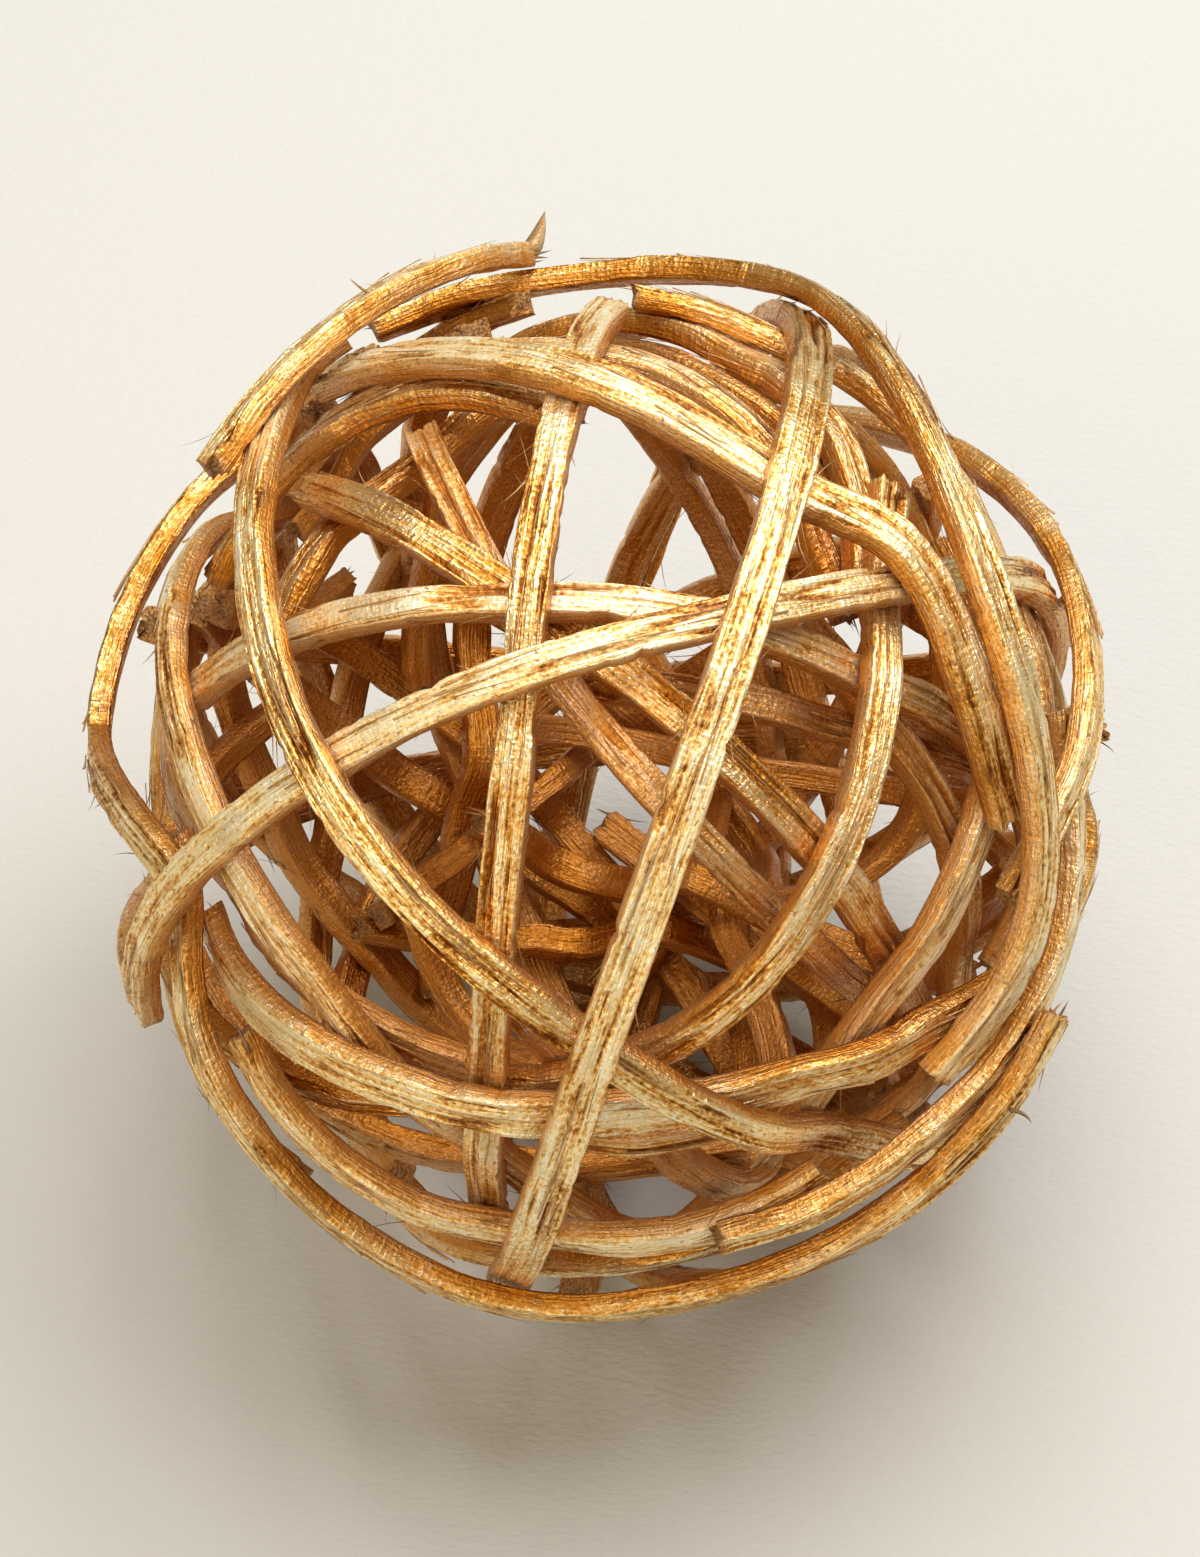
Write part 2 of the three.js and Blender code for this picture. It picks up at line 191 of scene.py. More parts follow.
class Path:
    """Where a strip runs: its middle line, its cross directions and its half sizes."""

    def __init__(self, rings, seed):
        centres, outs, sides = spine_of(rings, MIDDLE)
        length = np.linalg.norm(np.diff(centres, axis=0), axis=1).sum()
        places = np.linspace(0, len(rings) - 1, max(8, round(length / RING_SPACING)) + 1)
        self.seed = seed
        self.points = smooth(centres, places)
        self.ahead = unit(np.gradient(self.points, axis=0))
        steps = np.linalg.norm(np.diff(self.points, axis=0), axis=1)
        self.along = np.concatenate([[0], np.cumsum(steps)])
        out, side = smooth(outs, places), smooth(sides, places)
        swell = [1 + SWELL * slow_noise(x, SWELLS_PER_MM, seed, 5) for x in self.along]
        self.half_depth = np.linalg.norm(out, axis=1) + PLUMP
        self.half_width = np.linalg.norm(side, axis=1) * SLIMMER * np.array(swell)
        roll = np.array([[ROLL * slow_noise(x, ROLLS_PER_MM, seed, 9)] for x in self.along])
        self.out = np.cos(roll) * unit(out) + np.sin(roll) * unit(side)
        self.side = np.cos(roll) * unit(side) - np.sin(roll) * unit(out)

    def spot(self, k, y, z):
        """The place y across and z out from the middle line at ring k."""
        return Vector(self.points[k] + self.side[k] * y + self.out[k] * z)


paths = {name: Path(rings, number * SEED_STEP) for number, (name, rings) in enumerate(bands.items())}
print("the strips are", round(sum(path.along[-1] for path in paths.values()), 2), "m long in all")

# %% [markdown]
# Split vine has crisp, nearly square edges: it is cut with a knife and then planed. So the section
# is a flat outer face, a flat inner one and a small bevel at each corner. A Bevel modifier could
# round the corners of a plain box, but it would round the torn ends too. We describe the section
# once, as fractions of half the width and half the thickness. The points lie closer together near
# the edges, so that the smooth shading turns the corner quickly.

# %% The section of a strip
FLAT = 0.93  # share of the width that is flat, between the bevels
BEVEL = 0.7  # height on the narrow sides where the bevels start
CROWN = 0.06  # how far the outer face falls off towards its edges
BUNCHING = 0.4  # how much closer the points lie near the edges


def section():
    """Points round the section, as (across, outwards), each from -1 to 1."""
    even = np.linspace(-1, 1, OUTER_POINTS)
    spread = [FLAT * ((1 - BUNCHING) * u + BUNCHING * math.sin(u * math.pi / 2)) for u in even]
    outer = [(x, 1 - CROWN * x * x) for x in spread]
    inner = [(x, -1) for x in np.linspace(FLAT, -FLAT, INNER_POINTS)]
    return np.array(outer + [(1.0, BEVEL), (1.0, -BEVEL)] + inner + [(-1.0, -BEVEL), (-1.0, BEVEL)])


SECTION = section()
print("the section has", len(SECTION), "points")

# %% [markdown]
# Split vine is a bundle of fibres. Its faces have grooves that run lengthwise for a centimetre or
# two, it is lumpy where it was bent, its edges are nicked, and here and there a fibre has torn out
# and left a crack or a pit. Each could be cut by hand, but there are several metres of strip.
# Noise gives all of them, if it is stretched along the strip: we ask for it at a place measured
# along, across and through the strip. Cracks open more near the ends, where nothing holds the
# fibres together.

# %% Relief of the vine
RIDGES = 0.17 * MM
LUMPS = 0.12 * MM
CRACK_DEPTH = 0.40 * MM
CRACK_WIDTH = 0.11  # in units of the noise that the cracks follow
PIT_DEPTH = 0.55 * MM
PIT_LEVEL = 0.36  # pits are where their noise is above this
NICK_DEPTH = 0.12 * MM
NICK_LEVEL = 0.26
SPLIT_LENGTH = 9.0  # millimetres from an end within which it splits


def relief(along, across, through, seed, split):
    """How far the surface stands out at one place of a strip; split is 1 at its ends.

    The number beside each of x, y and z says how many waves its noise has in a millimetre.
    """
    x, y, z = along / MM, across / MM, through / MM
    ridges = noise.noise(Vector((x * 0.05, y * 1.5, z * 1.5 + seed)))
    lumps = noise.noise(Vector((x * 0.45, y * 0.5, z * 0.5 + 2 * seed)))
    fault = noise.noise(Vector((x * 0.045, y * 0.9, z * 0.4 + 3 * seed)))
    open_here = noise.noise(Vector((x * 0.08, y * 0.15, 5 * seed))) + 0.02 + 0.5 * split
    crack = max(0.0, 1 - abs(fault) / CRACK_WIDTH) * min(1.0, max(0.0, 4 * open_here))
    pit = max(0.0, noise.noise(Vector((x * 0.75, y * 1.6, z + 7 * seed))) - PIT_LEVEL)
    raised = RIDGES * (0.45 - 2.2 * abs(ridges)) + LUMPS * lumps
    return raised - CRACK_DEPTH * crack - PIT_DEPTH * pit


def edge_wear(along, side, seed):
    """How far an edge is worn in at one place along the strip."""
    x = along / MM
    nick = max(0.0, noise.noise(Vector((x * 0.8, side * 7, seed))) - NICK_LEVEL)
    return NICK_DEPTH * (noise.noise(Vector((x * 0.3, side * 3, seed))) + 6 * nick)


samples = [relief(step * MM, 0.0, 0.0, 0.0, 0.0) for step in range(100)]
print("along one line the relief is", [round(f(samples) / MM, 2) for f in (min, max)], "mm")

# %% [markdown]
# Now the strip itself. A curve with a bevel profile would bend just as well, but it couldn't hold
# a crack or remember where each point of the flat strip went. So we begin with a flat grid with
# the right number of squares: one row for each ring and one column for each point of the section.
# We roll it up and bend it along the path in one move, and weld the seam. Each point keeps two
# attributes for the colour: "fibre" is its place on the straight strip, so that the grain follows
# the bend, and the second one says how high it stands, for painted shade in the grooves and a
# painted highlight on the ridges, how near an edge it is, for painted shade on the narrow sides,
# and how bare the wood is.

# %% Rolling a strip
SEAM = 0.0005 * MM  # points closer than this are welded
FIBRE_SHIFT = 0.15  # metres for each unit of seed, so that no two strips share their grain
INNER_RELIEF = 0.5  # the inner face is smoother
WEAR_POWER = 5  # keeps the painted shade of the narrow sides near them
SIDE_SHADE_POWER = 14  # keeps the paint's darker tint to the narrow sides
MID_HEIGHT = 0.62  # "how high" for a point that is neither raised nor sunk
HEIGHT_RANGE = 0.5 * MM


def attributes(strip):
    layers = strip.verts.layers.float_vector
    return layers["fibre"], layers["wear"]


def rolled_strip(path):
    """An open tube bent along the path, in a bmesh with its two attributes."""
    strip = bmesh.new()
    around, last = len(SECTION), len(path.points) - 1
    bmesh.ops.create_grid(strip, x_segments=last, y_segments=around, size=0.5)
    strip.verts.layers.float_vector.new("fibre")
    strip.verts.layers.float_vector.new("wear")
    fibre, wear = attributes(strip)
    for v in strip.verts:
        k = round((v.co.x + 0.5) * last)
        across, out = SECTION[round((v.co.y + 0.5) * around) % around]
        along, y, z = path.along[k], across * path.half_width[k], out * path.half_depth[k]
        split = max(0.0, 1 - min(along, path.along[-1] - along) / MM / SPLIT_LENGTH)
        raised = relief(along, y, z, path.seed, split)
        worn = math.copysign(abs(across) ** WEAR_POWER, across)
        worn *= edge_wear(along, across > 0, path.seed)
        v.co = path.spot(k, y - worn, z + raised * (out if out > 0 else INNER_RELIEF * out))
        # The height gives painted shade in the grooves and a painted highlight on the ridges; the
        # second number gives painted shade on the narrow sides; the last says how bare the wood is.
        height = min(1.0, max(0.0, MID_HEIGHT + raised / HEIGHT_RANGE))
        v[fibre] = along + path.seed * FIBRE_SHIFT, y, z
        v[wear] = height, abs(across) ** SIDE_SHADE_POWER, 0.0
    bmesh.ops.remove_doubles(strip, verts=strip.verts, dist=SEAM)
    return strip


trial = rolled_strip(paths["front_diagonal_strand"])
print("the front diagonal has", len(trial.faces), "faces before its ends and hairs")
trial.free()

# %% [markdown]
# A strip's end is snapped or cut with blunt shears, so its fibres end unevenly, like a comb. A
# boolean with a jagged block could tear it, but moving points that are there already is surer. We
# push each point of the last ring out or in by a different amount. The hole is filled and poked
# in, so that the end is a little hollow, and its rim is marked sharp, so that the smooth shading
# of the faces doesn't run round the corner.

# %% Torn ends
COMB = 0.9 * MM  # how unevenly the fibres end
HOLLOW = 0.2 * MM
RIM_SHADE_AND_WEAR = (0.4, 0.5, 0.45)  # half bare wood, with some painted shade
HOLLOW_WEAR = (0.1, 0.0, 1.0)  # all bare wood


def tear_ends(strip, path):
    """Roughens and closes the two open ends, and marks them as bare wood, with some painted shade on
    the rims.
    """
    fibre, wear = attributes(strip)
    rims = [e for e in strip.edges if e.is_boundary]
    halfway = path.seed * FIBRE_SHIFT + path.along[-1] / 2
    for v in {v for e in rims for v in e.verts}:
        along, y, z = v[fibre]
        at_last = along > halfway
        heading = Vector(path.ahead[-1]) if at_last else -Vector(path.ahead[0])
        comb = noise.noise(Vector((y / MM * 1.6, z / MM * 1.1, path.seed + 9 * at_last)))
        v.co += heading * (COMB * comb)
        v[wear] = RIM_SHADE_AND_WEAR
    for e in rims:
        e.smooth = False
    caps = bmesh.ops.holes_fill(strip, edges=rims, sides=0)["faces"]
    poked = bmesh.ops.poke(strip, faces=caps, offset=-HOLLOW)
    for v in poked["verts"]:
        v[wear] = HOLLOW_WEAR


print("ends are uneven by up to", COMB / MM, "mm")

# %% [markdown]
# Fine splinters and hairs stand off the edges and the ends, and slivers of fibre lie half loose
# on the faces. A hair system would be quick to set up, but hair isn't part of a mesh and would be
# lost when the ball is used elsewhere. There are a few thousand, so each is as simple as it can
# be. It is made like the strip itself, from a small grid rolled into a three-sided tube along a
# bent line. It narrows to a tip, where its last points are welded into one.

# %% One sliver
SLIVER_SIDES = 3
SLIVER_HEIGHT = 0.75  # its "how high" in the attribute: a painted highlight, a little paler than the strip


def add_sliver(strip, points, thickness, bare):
    """A three-sided sliver along the points, from a blunt root to a tip."""
    fibre, wear = attributes(strip)
    last = len(points) - 1
    made = bmesh.ops.create_grid(strip, x_segments=last, y_segments=SLIVER_SIDES, size=0.5)
    turn = (points[-1] - points[0]).to_track_quat("Z", "Y")
    for v in made["verts"]:
        k = round((v.co.x + 0.5) * last)
        angle = math.tau * round((v.co.y + 0.5) * SLIVER_SIDES) / SLIVER_SIDES
        radius = thickness / 2 * (1 - (k / last) ** 2)
        v.co = points[k] + turn @ Vector((math.cos(angle), math.sin(angle), 0)) * radius
        v[fibre] = k * MM, angle * 0.2 * MM, 0.0
        # Each sliver also gets half the painted shade of a narrow side.
        v[wear] = SLIVER_HEIGHT, 0.5, bare
    bmesh.ops.remove_doubles(strip, verts=made["verts"], dist=SEAM)


def bent_line(root, heading, lift, length, steps):
    """Points from root along heading, turning more and more towards lift."""
    points = [root]
    for k in range(steps):
        step = (heading + lift * (k / steps)).normalized() * (length / steps)
        points.append(points[-1] + step)
    return points


hook = bent_line(Vector(), Vector((0, 0, 1)), Vector((1, 0, 0)), 1.0, 4)
print("a bent line ends at", [round(c, 2) for c in hook[-1]])

# %% [markdown]
# There are three kinds. Frays leave an edge at a slant, because that is where the knife cut
# across the fibres. They could all stand off at one angle, but real ones never do. So each draws
# its own numbers from the seed above. They are drawn in a fixed order, and the ball is the same
# each time.

# %% Frays
HAIR_STEPS = 4
FRAY_REACH = 5.0 * MM


def fray(strip, path, k):
    """A hair that leaves an edge of the strip at ring k, at a slant."""
    side, onwards = random.choice((-1, 1)), random.choice((-1, 1))
    y, z = side * 0.9 * path.half_width[k], random.uniform(-0.3, 0.7) * path.half_depth[k]
    out, edge = Vector(path.out[k]), Vector(path.side[k]) * side
    heading = Vector(path.ahead[k]) * onwards + edge * random.uniform(0.05, 0.5)
    heading += out * random.uniform(-0.05, 0.25)
    lift = edge * random.uniform(0, 0.8) + out * random.uniform(-0.2, 0.7)
    length = FRAY_REACH * random.uniform(0.4, 1) ** 2
    line = bent_line(path.spot(k, y, z), heading, lift, length, HAIR_STEPS)
    add_sliver(strip, line, random.uniform(0.06, 0.16) * MM, random.choice((0.0, 0.15, 0.6)))


print("frays are up to", FRAY_REACH / MM, "mm long")

# %% [markdown]
# Loose fibres are slivers that have come half off the outer face. They lie along it and lift off
# only at one end. A line of their own, like that of a fray, would soon leave a face that curves
# away. So we lay them on the path, at five places between two rings of the strip.

# %% Loose fibres
LOOSE_RINGS = (5, 16)


def loose_fibre(strip, path, k):
    """A sliver that lies along the outer face from ring k and lifts off a little at its tip."""
    rings = random.randint(*LOOSE_RINGS)
    if k + rings >= len(path.points):
        return
    y = random.uniform(-0.75, 0.75) * path.half_width[k]
    drift = random.uniform(-0.4, 0.4) * MM
    line = []
    for t in (0, 0.2, 0.5, 0.8, 1):
        ring = k + round(t * rings)
        above = path.half_depth[ring] + (0.02 + 0.35 * t**3) * MM
        line.append(path.spot(ring, y + drift * t, above))
    if random.random() < 0.5:
        line.reverse()
    add_sliver(strip, line, random.uniform(0.10, 0.24) * MM, random.choice((0.0, 0.0, 0.35)))


print("loose fibres are", [round(n * RING_SPACING / MM, 1) for n in LOOSE_RINGS], "mm long")

# %% [markdown]
# Snapped fibres stick out of the torn ends, straighter and thicker than the other two kinds. They
# could start right at the end, but it is uneven, and some would float. So their roots are two
# rings inside the strip.

# %% Snapped fibres
ROOT_RINGS = 2
SNAPPED_LENGTH = 1.2  # millimetres, to which up to two more are added


def snapped_fibre(strip, path, at_last):
    """A splinter that sticks out of an end."""
    k = len(path.points) - 1 if at_last else 0
    y = random.uniform(-0.85, 0.85) * path.half_width[k]
    z = random.uniform(-0.7, 0.7) * path.half_depth[k]
    root = path.spot(k - ROOT_RINGS if at_last else ROOT_RINGS, y, z)
    out, side = Vector(path.out[k]), Vector(path.side[k])
    heading = Vector(path.ahead[k]) * (1 if at_last else -1) + side * random.uniform(-0.15, 0.15)
    lift = out * random.uniform(-0.3, 0.5) + side * random.uniform(-0.4, 0.4)
    length = (SNAPPED_LENGTH + random.uniform(0.2, 1.4) ** 2) * MM
    line = bent_line(root, heading, lift, length, HAIR_STEPS)
    add_sliver(strip, line, random.uniform(0.14, 0.42) * MM, random.uniform(0.1, 0.9))


print("snapped fibres are at least", SNAPPED_LENGTH, "mm long")

# %% [markdown]
# A few splinters are big enough to be told apart. One strip at the upper left has snapped, and
# the broken half of its end curls up as a brown spike; a smaller splinter stands off its back.
# Another one hangs from the lower right. They need no shape of their own: a thick sliver with a
# strong bend does for each. Their directions are given along the strip, across it and outwards.

# %% The big splinters
SPLINTER_STEPS = 6
# for each: how far along from the strip's right end, heading, lift, length, thickness, bareness
BIG_SPLINTERS = {
    "upper_left_rim_strand": [
        (0.02, (0.9, 0.0, 0.5), (-0.2, 0.0, 1.6), 4.3 * MM, 1.9 * MM, 0.5),
        (0.03, (1.0, -0.2, 0.3), (0.0, 0.0, 1.0), 3.6 * MM, 1.1 * MM, 0.7),
        (0.46, (-0.8, 0.2, 0.7), (0.0, 0.0, 0.7), 3.2 * MM, 0.35 * MM, 0.5),
    ],
    "base_rim_strand": [
        (0.08, (0.5, -0.3, 0.6), (-0.8, 0.0, 0.3), 3.4 * MM, 0.5 * MM, 0.9),
    ],
}


def add_big_splinters(strip, path, name):
    right_is_last = path.points[-1][0] > path.points[0][0]
    for share, heading, lift, length, thickness, bare in BIG_SPLINTERS.get(name, []):
        k = round((1 - share if right_is_last else share) * (len(path.points) - 1))
        to_right = Vector(path.ahead[k]) * (1 if right_is_last else -1)
        axes = (to_right, Vector(path.side[k]), Vector(path.out[k]))
        heading = sum((axis * part for axis, part in zip(axes, heading)), Vector())
        lift = sum((axis * part for axis, part in zip(axes, lift)), Vector())
        root = path.spot(k, 0, 0.3 * path.half_depth[k])
        line = bent_line(root, heading, lift, length, SPLINTER_STEPS)
        add_sliver(strip, line, thickness, bare)


print(sum(len(rows) for rows in BIG_SPLINTERS.values()), "big splinters")

# %% [markdown]
# A finish of several layers takes dozens of nodes, and each takes several lines to set up. A few
# kinds come back again and again, so we first give them short names. A helper adds its node,
# fills it in and returns the result, ready for the next one.


# %% Small helpers for nodes
class Nodes:
    """Short ways to add nodes to a tree."""

    def __init__(self, tree):
        self.new, self.link = tree.nodes.new, tree.links.new

    def join(self, value, socket):
        """Links a result to a socket, or sets the socket to a plain number or colour."""
        if isinstance(value, bpy.types.NodeSocket):
            self.link(value, socket)
        else:
            socket.default_value = value

    def noise(self, place, per_mm, detail=2.0):
        """Noise stretched along the axes, with the given waves per millimetre along each."""
        mapping = self.new("ShaderNodeMapping")
        mapping.inputs["Scale"].default_value = [count / MM for count in per_mm]
        self.link(place, mapping.inputs["Vector"])
        texture = self.new("ShaderNodeTexNoise")
        texture.inputs["Scale"].default_value = 1.0
        texture.inputs["Detail"].default_value = detail
        self.link(mapping.outputs["Vector"], texture.inputs["Vector"])
        return texture.outputs["Fac"]

    def math(self, operation, a, b):
        node = self.new("ShaderNodeMath")
        node.operation = operation
        self.join(a, node.inputs[0])
        self.join(b, node.inputs[1])
        return node.outputs[0]

    def span(self, value, low, high, to_low=0.0, to_high=1.0):
        """The value moved from the range low to high into the range to_low to to_high."""
        node = self.new("ShaderNodeMapRange")
        node.inputs["From Min"].default_value = low
        node.inputs["From Max"].default_value = high
        node.inputs["To Min"].default_value = to_low
        node.inputs["To Max"].default_value = to_high
        self.link(value, node.inputs["Value"])
        return node.outputs["Result"]

    def mix(self, amount, a, b):
        """Colour a turned towards colour b; a Mix node's colour sockets are 6, 7 and 2."""
        node = self.new("ShaderNodeMix")
        node.data_type = "RGBA"
        self.join(amount, node.inputs["Factor"])
        self.join(a, node.inputs[6])
        self.join(b, node.inputs[7])
        return node.outputs[2]

    def ramp(self, value, stops):
        node = self.new("ShaderNodeValToRGB")
        elements = node.color_ramp.elements
        while len(elements) < len(stops):
            elements.new(0.5)
        for element, (position, colour) in zip(elements, stops):
            element.position, element.color = position, (*colour, 1)
        self.link(value, node.inputs["Fac"])
        return node.outputs["Color"]

    def split(self, vector):
        """The three parts of a vector, or of an attribute that holds three numbers."""
        node = self.new("ShaderNodeSeparateXYZ")
        self.link(vector, node.inputs["Vector"])
        return node.outputs


print("helpers:", ", ".join(name for name in vars(Nodes) if not name.startswith("_")))

# %% [markdown]
# The finish is thin gold paint brushed over the vine. Its colour is painted paler on the raised
# fibres and darker in the grooves, a painted highlight and painted shade. Handling has rubbed some
# patches to a dull khaki, and pores stay dark. A picture of wood wrapped round the strips would
# repeat and blur, while noise at the place kept in "fibre" is sharp at any distance. We start with
# the patterns, and blend them with the height into one value that says how pale the colour is.

# %% Patterns in the paint
PALE_SHARES = {"grain": 0.30, "specks": 0.32, "blotches": 0.12, "tone": 0.22}
# The raised height's share is painted highlight and painted shade.
RAISED_SHARE = 0.24


def paint_patterns(n, fibre):
    """Noises in waves per millimetre along, across and through the strip."""
    return {
        "grain": n.noise(fibre, (0.18, 4.5, 4.5), 3.0),
        "specks": n.noise(fibre, (2.2, 3.4, 3.4), 3.0),
        "pores": n.span(n.noise(fibre, (2.0, 3.0, 3.0), 1.0), 0.64, 0.74),
        "blotches": n.noise(fibre, (0.10, 0.30, 0.30), 3.0),
        "rungs": n.noise(fibre, (3.2, 0.9, 0.9), 1.0),
        "tone": n.noise(fibre, (0.009, 0.0, 0.0), 1.0),
    }


def paleness(n, pattern, raised):
    """How pale the paint is, about 0.5 on average; tone is centred so as not to shift it. The
    raised height adds a painted highlight on the ridges and painted shade in the grooves.
    """
    pale = n.math("MULTIPLY", raised, RAISED_SHARE)
    for name, share in PALE_SHARES.items():
        pale = n.math("ADD", pale, n.math("MULTIPLY", pattern[name], share))
    return n.math("SUBTRACT", pale, PALE_SHARES["tone"] / 2)


print("paleness is made of", ", ".join(PALE_SHARES), "and height")

# %% [markdown]
# A ramp turns that value into the colours of old gold, from brown to cream. Then painted shade
# turns the colour to a warm brown deep in the ball and on the narrow sides of the strips, where
# light hardly reaches. The faces that look inwards turn brown as well, partly painted shade and
# partly thinner paint. We could give those faces a material of their own, but the change is
# gradual. So we work it out from how far a point is from the middle of the ball, how near an edge
# of its strip it is, and how far it is towards the inner side of its strip.

# %% Colours of the paint
PAINT_STOPS = [
    (0.37, (0.170, 0.050, 0.006)),
    (0.43, (0.520, 0.215, 0.030)),
    (0.48, (0.820, 0.490, 0.145)),
    (0.53, (0.970, 0.770, 0.390)),
    (0.61, (1.000, 0.920, 0.690)),
]
WOOD_STOPS = [(0.35, (0.09, 0.035, 0.010)), (0.65, (0.42, 0.24, 0.09))]
KHAKI = (0.56, 0.42, 0.20, 1)
SIDE_SHADE_ORANGE = (0.66, 0.29, 0.045, 1)
PORE_BROWN = (0.30, 0.10, 0.015, 1)
DEEP_SHADE_BROWN = (0.54, 0.19, 0.020, 1)
INNER_SHADE_BROWN = (0.54, 0.20, 0.022, 1)
OUTER_RADIUS = 38.5 * MM  # no painted shade beyond this distance from the middle
DEEP_RADIUS = 33.0 * MM  # and the deepest painted shade within this one


def depth_in_ball(n):
    """0 on the outside of the ball and 0.75 deep inside it."""
    reach = n.new("ShaderNodeVectorMath")
    reach.operation = "DISTANCE"
    n.link(n.new("ShaderNodeTexCoord").outputs["Object"], reach.inputs[0])
    reach.inputs[1].default_value = MIDDLE
    return n.span(reach.outputs["Value"], OUTER_RADIUS, DEEP_RADIUS, 0.0, 0.75)


def paint_and_shade_colour(n, pattern, pale, edge, bare, through):
    colour = n.ramp(pale, PAINT_STOPS)
    colour = n.mix(n.span(pattern["blotches"], 0.56, 0.66, 0.0, 0.5), colour, KHAKI)
    # Painted shade: the narrow sides of each strip turn orange-brown.
    colour = n.mix(n.math("MULTIPLY", edge, 0.55), colour, SIDE_SHADE_ORANGE)
    colour = n.mix(n.math("MULTIPLY", pattern["pores"], 0.65), colour, PORE_BROWN)
    # Painted shade: the colour turns brown deep inside the ball.
    colour = n.mix(depth_in_ball(n), colour, DEEP_SHADE_BROWN)
    # Inner faces turn brown: partly painted shade, partly thinner paint.
    colour = n.mix(n.span(through, 0.2 * MM, -0.2 * MM, 0.0, 0.6), colour, INNER_SHADE_BROWN)
    return n.mix(bare, colour, n.ramp(pattern["grain"], WOOD_STOPS))


print("the paint goes from", PAINT_STOPS[0][1], "to", PAINT_STOPS[-1][1])

# %% [markdown]
# Gold paint is metal flakes in a varnish. Where it is thick it reflects like dull metal, and
# where it is worn it is almost matt. Some strips took more paint than others, so the slow tone
# noise sets how metallic each stretch is. A last value is the height of the finest fibres, which
# are too small for the mesh: a Bump node shades them instead. All of this goes into one node
# group that puts out a colour and three values.


# %% A node group for the old gold paint
def paint_group():
    # The group's colour holds the paint and the painted shade and highlight.
    group = bpy.data.node_groups.new("OldGoldPaintAndShade", "ShaderNodeTree")
    make_socket = group.interface.new_socket
    make_socket("Colour", in_out="OUTPUT", socket_type="NodeSocketColor")
    for name in ("Roughness", "Metal", "Height"):
        make_socket(name, in_out="OUTPUT", socket_type="NodeSocketFloat")
    n = Nodes(group)
    result = n.new("NodeGroupOutput").inputs
    place, wear = n.new("ShaderNodeAttribute"), n.new("ShaderNodeAttribute")
    place.attribute_name, wear.attribute_name = "fibre", "wear"
    raised, edge, bare = n.split(wear.outputs["Vector"])
    pattern = paint_patterns(n, place.outputs["Vector"])
    pale = paleness(n, pattern, raised)
    through = n.split(place.outputs["Vector"])["Z"]
    n.link(paint_and_shade_colour(n, pattern, pale, edge, bare, through), result["Colour"])

    rough = n.span(pattern["specks"], 0.35, 0.62, 0.48, 0.26)
    n.link(n.math("ADD", rough, n.math("MULTIPLY", bare, 0.25)), result["Roughness"])
    metal = n.span(pattern["tone"], 0.42, 0.60, 1.0, 0.55)
    n.link(n.math("MULTIPLY", metal, n.math("SUBTRACT", 1.0, bare)), result["Metal"])
    height = n.math("ADD", pattern["grain"], n.math("MULTIPLY", pattern["specks"], 0.7))
    height = n.math("ADD", height, n.math("MULTIPLY", pattern["rungs"], 0.35))
    height = n.math("SUBTRACT", height, n.math("MULTIPLY", pattern["pores"], 0.12))
    n.link(height, result["Height"])
    return group


OLD_GOLD = paint_group()
print("the paint group has", len(OLD_GOLD.nodes), "nodes")

# %% [markdown]
# The material itself is short: the Principled BSDF takes what the group puts out. Every strip,
# hair and splinter was painted with the same brush, so they all share it.

# %% The gold-painted vine
FIBRE_BUMP = 0.20 * MM


def gold_painted_vine():
    material = bpy.data.materials.new("gold_painted_vine")
    material.use_nodes = True
    n = Nodes(material.node_tree)
    shader = material.node_tree.nodes["Principled BSDF"].inputs
    paint = n.new("ShaderNodeGroup")
    paint.node_tree = OLD_GOLD
    n.link(paint.outputs["Colour"], shader["Base Color"])
    n.link(paint.outputs["Roughness"], shader["Roughness"])
    n.link(paint.outputs["Metal"], shader["Metallic"])
    bump = n.new("ShaderNodeBump")
    bump.inputs["Strength"].default_value = 1.0
    bump.inputs["Distance"].default_value = FIBRE_BUMP
    n.link(paint.outputs["Height"], bump.inputs["Height"])
    n.link(bump.outputs["Normal"], shader["Normal"])
    return material


PAINT = gold_painted_vine()
print("material:", PAINT.name)

# %% [markdown]
# Everything is ready, so we make the strips one after another. Each stands in for its band in the
# frame. The paper under the ball is at height 0, and nothing may dip below it, so low points are
# lifted onto it.

# %% Making every strip
FRAY_EVERY = 3.2 * MM
LOOSE_EVERY = 4.5 * MM
SNAPPED_PER_END = 5


def finished(strip, name):
    """Closes the slivers' roots, turns all faces outwards and makes the object."""
    bmesh.ops.holes_fill(strip, edges=[e for e in strip.edges if e.is_boundary], sides=0)
    for v in strip.verts:
        v.co.z = max(v.co.z, 0.0)
    bmesh.ops.recalc_face_normals(strip, faces=strip.faces)
    for face in strip.faces:
        face.smooth = True
    mesh = bpy.data.meshes.new(name)
    strip.to_mesh(mesh)
    strip.free()
    mesh.materials.append(PAINT)
    piece = bpy.data.objects.new(name, mesh)
    bpy.context.scene.collection.objects.link(piece)
    return piece


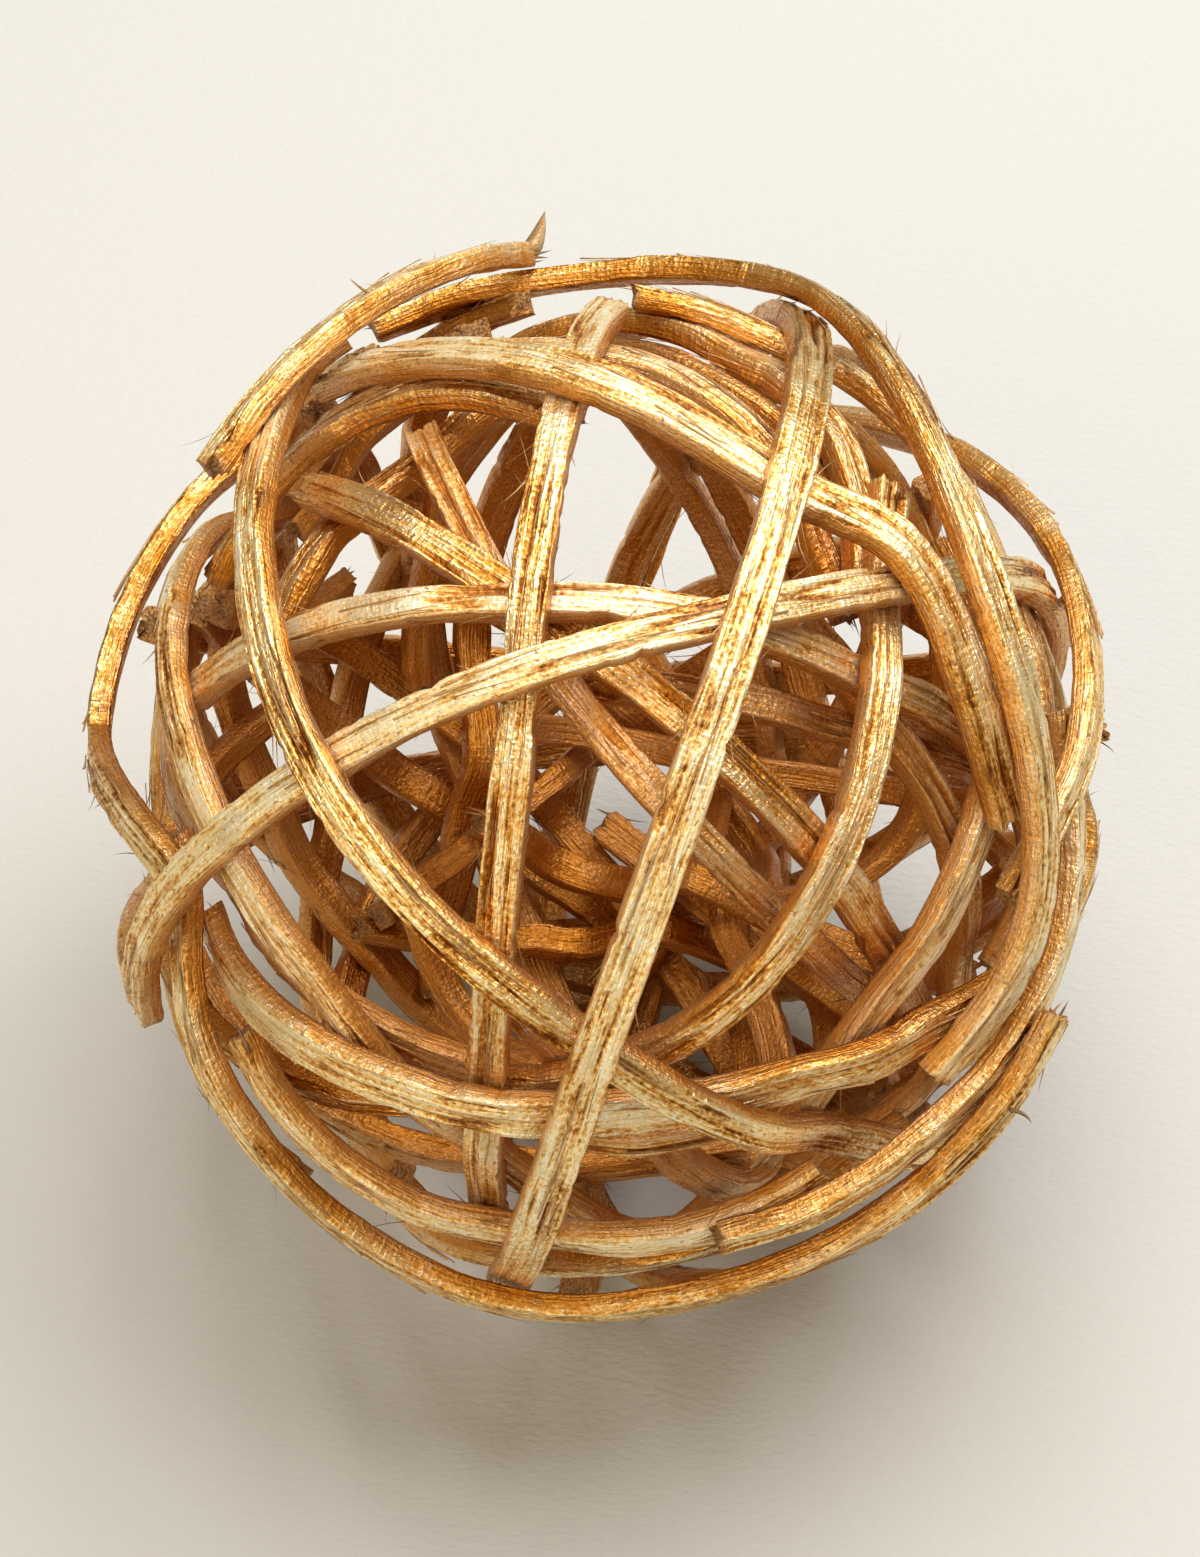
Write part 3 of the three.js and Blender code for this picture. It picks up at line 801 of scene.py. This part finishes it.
total = 0
for name, path in paths.items():
    strip = rolled_strip(path)
    tear_ends(strip, path)
    length, last = path.along[-1], len(path.points) - 1
    for _ in range(round(length / FRAY_EVERY)):
        fray(strip, path, random.randint(1, last - 1))
    for _ in range(round(length / LOOSE_EVERY)):
        loose_fibre(strip, path, random.randint(1, last - 1))
    for _ in range(SNAPPED_PER_END):
        snapped_fibre(strip, path, at_last=False)
        snapped_fibre(strip, path, at_last=True)
    add_big_splinters(strip, path, name)
    piece = finished(strip, name.replace("_strand", "_vine"))
    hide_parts(name)
    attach(piece, "root")
    total += sum(len(p.vertices) - 2 for p in piece.data.polygons)
print("strips made with", total, "triangles")

# %% [markdown] The ball rests on pale, slightly embossed paper. A sheet could be given a
# thickness and edges, but only a patch of it is ever in view. So it is one large square, and the
# embossing is a bump.

# %% Paper
PAPER = (0.52, 0.515, 0.49, 1)


def lay_paper():
    sheet = bmesh.new()
    bmesh.ops.create_grid(sheet, x_segments=1, y_segments=1, size=3.0)
    mesh = bpy.data.meshes.new("paper")
    sheet.to_mesh(mesh)
    sheet.free()
    paper = bpy.data.objects.new("paper", mesh)
    bpy.context.scene.collection.objects.link(paper)
    material = bpy.data.materials.new("paper")
    material.use_nodes = True
    shader = material.node_tree.nodes["Principled BSDF"].inputs
    shader["Base Color"].default_value = PAPER
    shader["Roughness"].default_value = 0.9
    n = Nodes(material.node_tree)
    bump = n.new("ShaderNodeBump")
    bump.inputs["Distance"].default_value = 0.15 * MM
    spot = n.new("ShaderNodeTexCoord").outputs["Object"]
    n.link(n.noise(spot, (0.9, 1.6, 1.0)), bump.inputs["Height"])
    n.link(bump.outputs["Normal"], shader["Normal"])
    mesh.materials.append(material)


lay_paper()
print("the paper's colour is", PAPER[:3])

# %% [markdown]
# One large soft light hangs above the ball, a little to the right and behind, so that tops are
# bright and the shadow falls forwards. A sun would be simpler to place, but it would cut hard
# shadows between the strips. A weaker, warmer light fills in from the front left. The sky is warm
# too, which keeps the shaded strips golden.

# %% Lights
SKY = (1, 0.89, 0.72, 1)
SKY_STRENGTH = 0.40
LIGHTS = {
    "key": dict(offset=(0.12, 0.15, 0.51), size=0.70, power=5.7, colour=(0.99, 0.99, 1.0)),
    "fill": dict(offset=(-0.30, -0.45, 0.35), size=0.6, power=1.5, colour=(1, 0.82, 0.54)),
}


def hang_light(name, offset, size, power, colour):
    """A round area light at an offset from the ball's middle, which it faces."""
    light = bpy.data.lights.new(name, "AREA")
    light.shape = "DISK"
    light.size = size
    light.energy = power
    light.color = colour
    lamp = bpy.data.objects.new(name, light)
    lamp.location = Vector(MIDDLE) + Vector(offset)
    lamp.rotation_euler = Vector(offset).to_track_quat("Z", "Y").to_euler()
    bpy.context.scene.collection.objects.link(lamp)


for name, light in LIGHTS.items():
    hang_light(name, **light)
world = bpy.data.worlds.new("studio")
bpy.context.scene.world = world
world.use_nodes = True
sky = world.node_tree.nodes["Background"].inputs
sky["Color"].default_value = SKY
sky["Strength"].default_value = SKY_STRENGTH
print("lights:", {name: light["power"] for name, light in LIGHTS.items()}, "watts")

# %% [markdown]
# The camera looks down at the ball from 50 degrees above the table. It could stand close with a
# short lens, but then the near strips would bulge towards us. So it stands back with a long one.

# %% Camera
CAMERA_HEIGHT = math.radians(50)
CAMERA_DISTANCE = 0.400
CAMERA_RAISED = 0.74 * MM  # sets the ball slightly below the middle of the frame
LENS = 118.2
SENSOR = 36
lens = bpy.data.cameras.new("camera")
lens.lens = LENS
lens.sensor_width = SENSOR
camera = bpy.data.objects.new("camera", lens)
back = Vector((0, -math.cos(CAMERA_HEIGHT), math.sin(CAMERA_HEIGHT)))
upwards = Vector((0, math.sin(CAMERA_HEIGHT), math.cos(CAMERA_HEIGHT)))
camera.location = Vector(MIDDLE) + back * CAMERA_DISTANCE + upwards * CAMERA_RAISED
camera.rotation_euler = back.to_track_quat("Z", "Y").to_euler()
bpy.context.scene.collection.objects.link(camera)
bpy.context.scene.camera = camera
bpy.context.scene.view_settings.view_transform = "Standard"
print("camera at", [round(c, 3) for c in camera.location])

# %% [markdown]
# The drawn ball is a little larger than the frame's box, because hairs and splinters stand up to
# about a millimetre past the bands.
